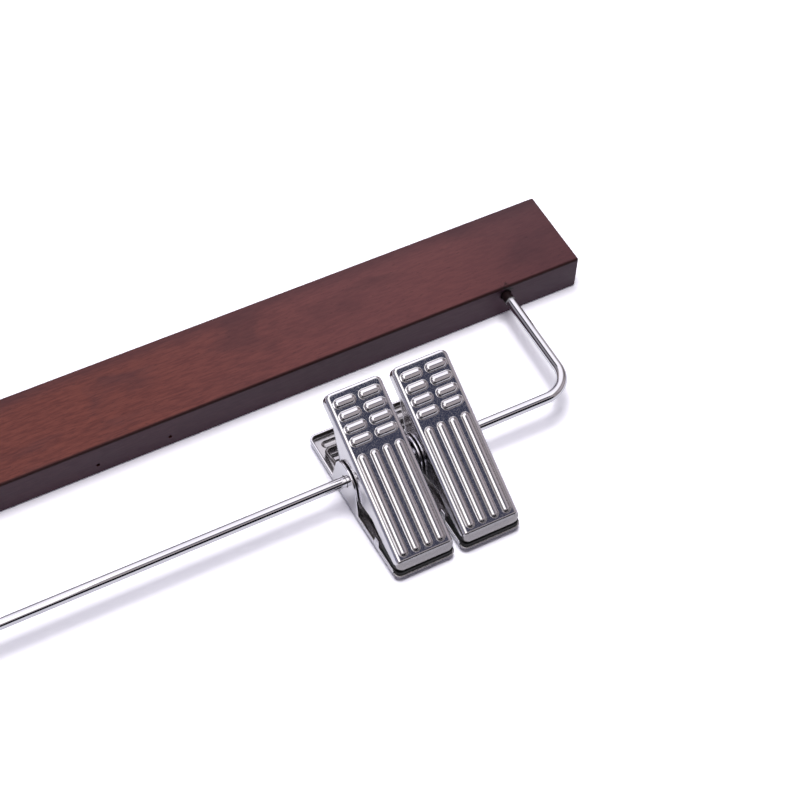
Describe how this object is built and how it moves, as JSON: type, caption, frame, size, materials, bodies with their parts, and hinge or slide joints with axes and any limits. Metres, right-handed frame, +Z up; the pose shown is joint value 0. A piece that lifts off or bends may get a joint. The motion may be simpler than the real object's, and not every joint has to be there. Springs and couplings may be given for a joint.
{
  "type": "clothes hanger",
  "caption": "Flat wooden trouser hanger with a turning wire hook, a wire rail under the bar and sprung pressed steel clips that slide and swing on the rail.",
  "frame": {"origin": "on the ground under the middle of the hanger's overall box, as it lies flat", "axes": "+X along the bar towards the end with the clips, +Y up the hanger towards its hook, +Z up from the ground"},
  "size_m": [0.42, 0.1764, 0.0323],
  "materials": {
    "stained_wood": "dark red-brown stain under satin lacquer",
    "plated_wire": "bright plated",
    "pressed_steel": "bright plated pressed sheet",
    "black_pad": "soft matt black",
    "spring_steel": "plain drawn spring wire"
  },
  "bodies": {
    "hanger": {"wood_bar": "stained_wood", "wire_rail": "plated_wire", "hook_ferrule": "plated_wire", "hook_washer": "plated_wire"},
    "hook_turning": {"hook": "plated_wire", "hook_nut": "plated_wire"},
    "left_clip_carriage": {"left_clip_spring": "spring_steel"},
    "left_clip_rear": {"left_clip_rear_jaw": "pressed_steel", "left_clip_rear_pad": "black_pad"},
    "left_clip_front": {"left_clip_front_jaw": "pressed_steel", "left_clip_front_pad": "black_pad"},
    "right_clip_carriage": {"right_clip_spring": "spring_steel"},
    "right_clip_rear": {"right_clip_rear_jaw": "pressed_steel", "right_clip_rear_pad": "black_pad"},
    "right_clip_front": {"right_clip_front_jaw": "pressed_steel", "right_clip_front_pad": "black_pad"}
  },
  "joints": [
    {"name": "hook_swivel", "type": "hinge", "parent": "hanger", "child": "hook_turning", "pos_m": [0, 0.01716, 0.0065], "axis": [0, 1, 0], "continuous": true},
    {"name": "left_clip_slide", "type": "slide", "parent": "hanger", "child": "left_clip_carriage", "axis": [1, 0, 0], "range_m": [-0.272, 0.0005]},
    {"name": "left_clip_swing", "type": "hinge", "parent": "left_clip_carriage", "child": "left_clip_rear", "pos_m": [0.1136, -0.05584, 0.011], "axis": [1, 0, 0], "continuous": true, "deforming": ["left_clip_spring"]},
    {"name": "left_clip_open", "type": "hinge", "parent": "left_clip_rear", "child": "left_clip_front", "pos_m": [0.1136, -0.05584, 0.011], "axis": [-1, 0, 0], "range_deg": [0, 40], "stiffness_Nm_per_rad": 0.05, "springref_deg": -57.3, "deforming": ["left_clip_spring"]},
    {"name": "right_clip_slide", "type": "slide", "parent": "hanger", "child": "right_clip_carriage", "axis": [1, 0, 0], "range_m": [-0.0005, 0.025]},
    {"name": "right_clip_swing", "type": "hinge", "parent": "right_clip_carriage", "child": "right_clip_rear", "pos_m": [0.1359, -0.05584, 0.011], "axis": [1, 0, 0], "continuous": true, "deforming": ["right_clip_spring"]},
    {"name": "right_clip_open", "type": "hinge", "parent": "right_clip_rear", "child": "right_clip_front", "pos_m": [0.1359, -0.05584, 0.011], "axis": [-1, 0, 0], "range_deg": [0, 40], "stiffness_Nm_per_rad": 0.05, "springref_deg": -57.3, "deforming": ["right_clip_spring"]}
  ]
}
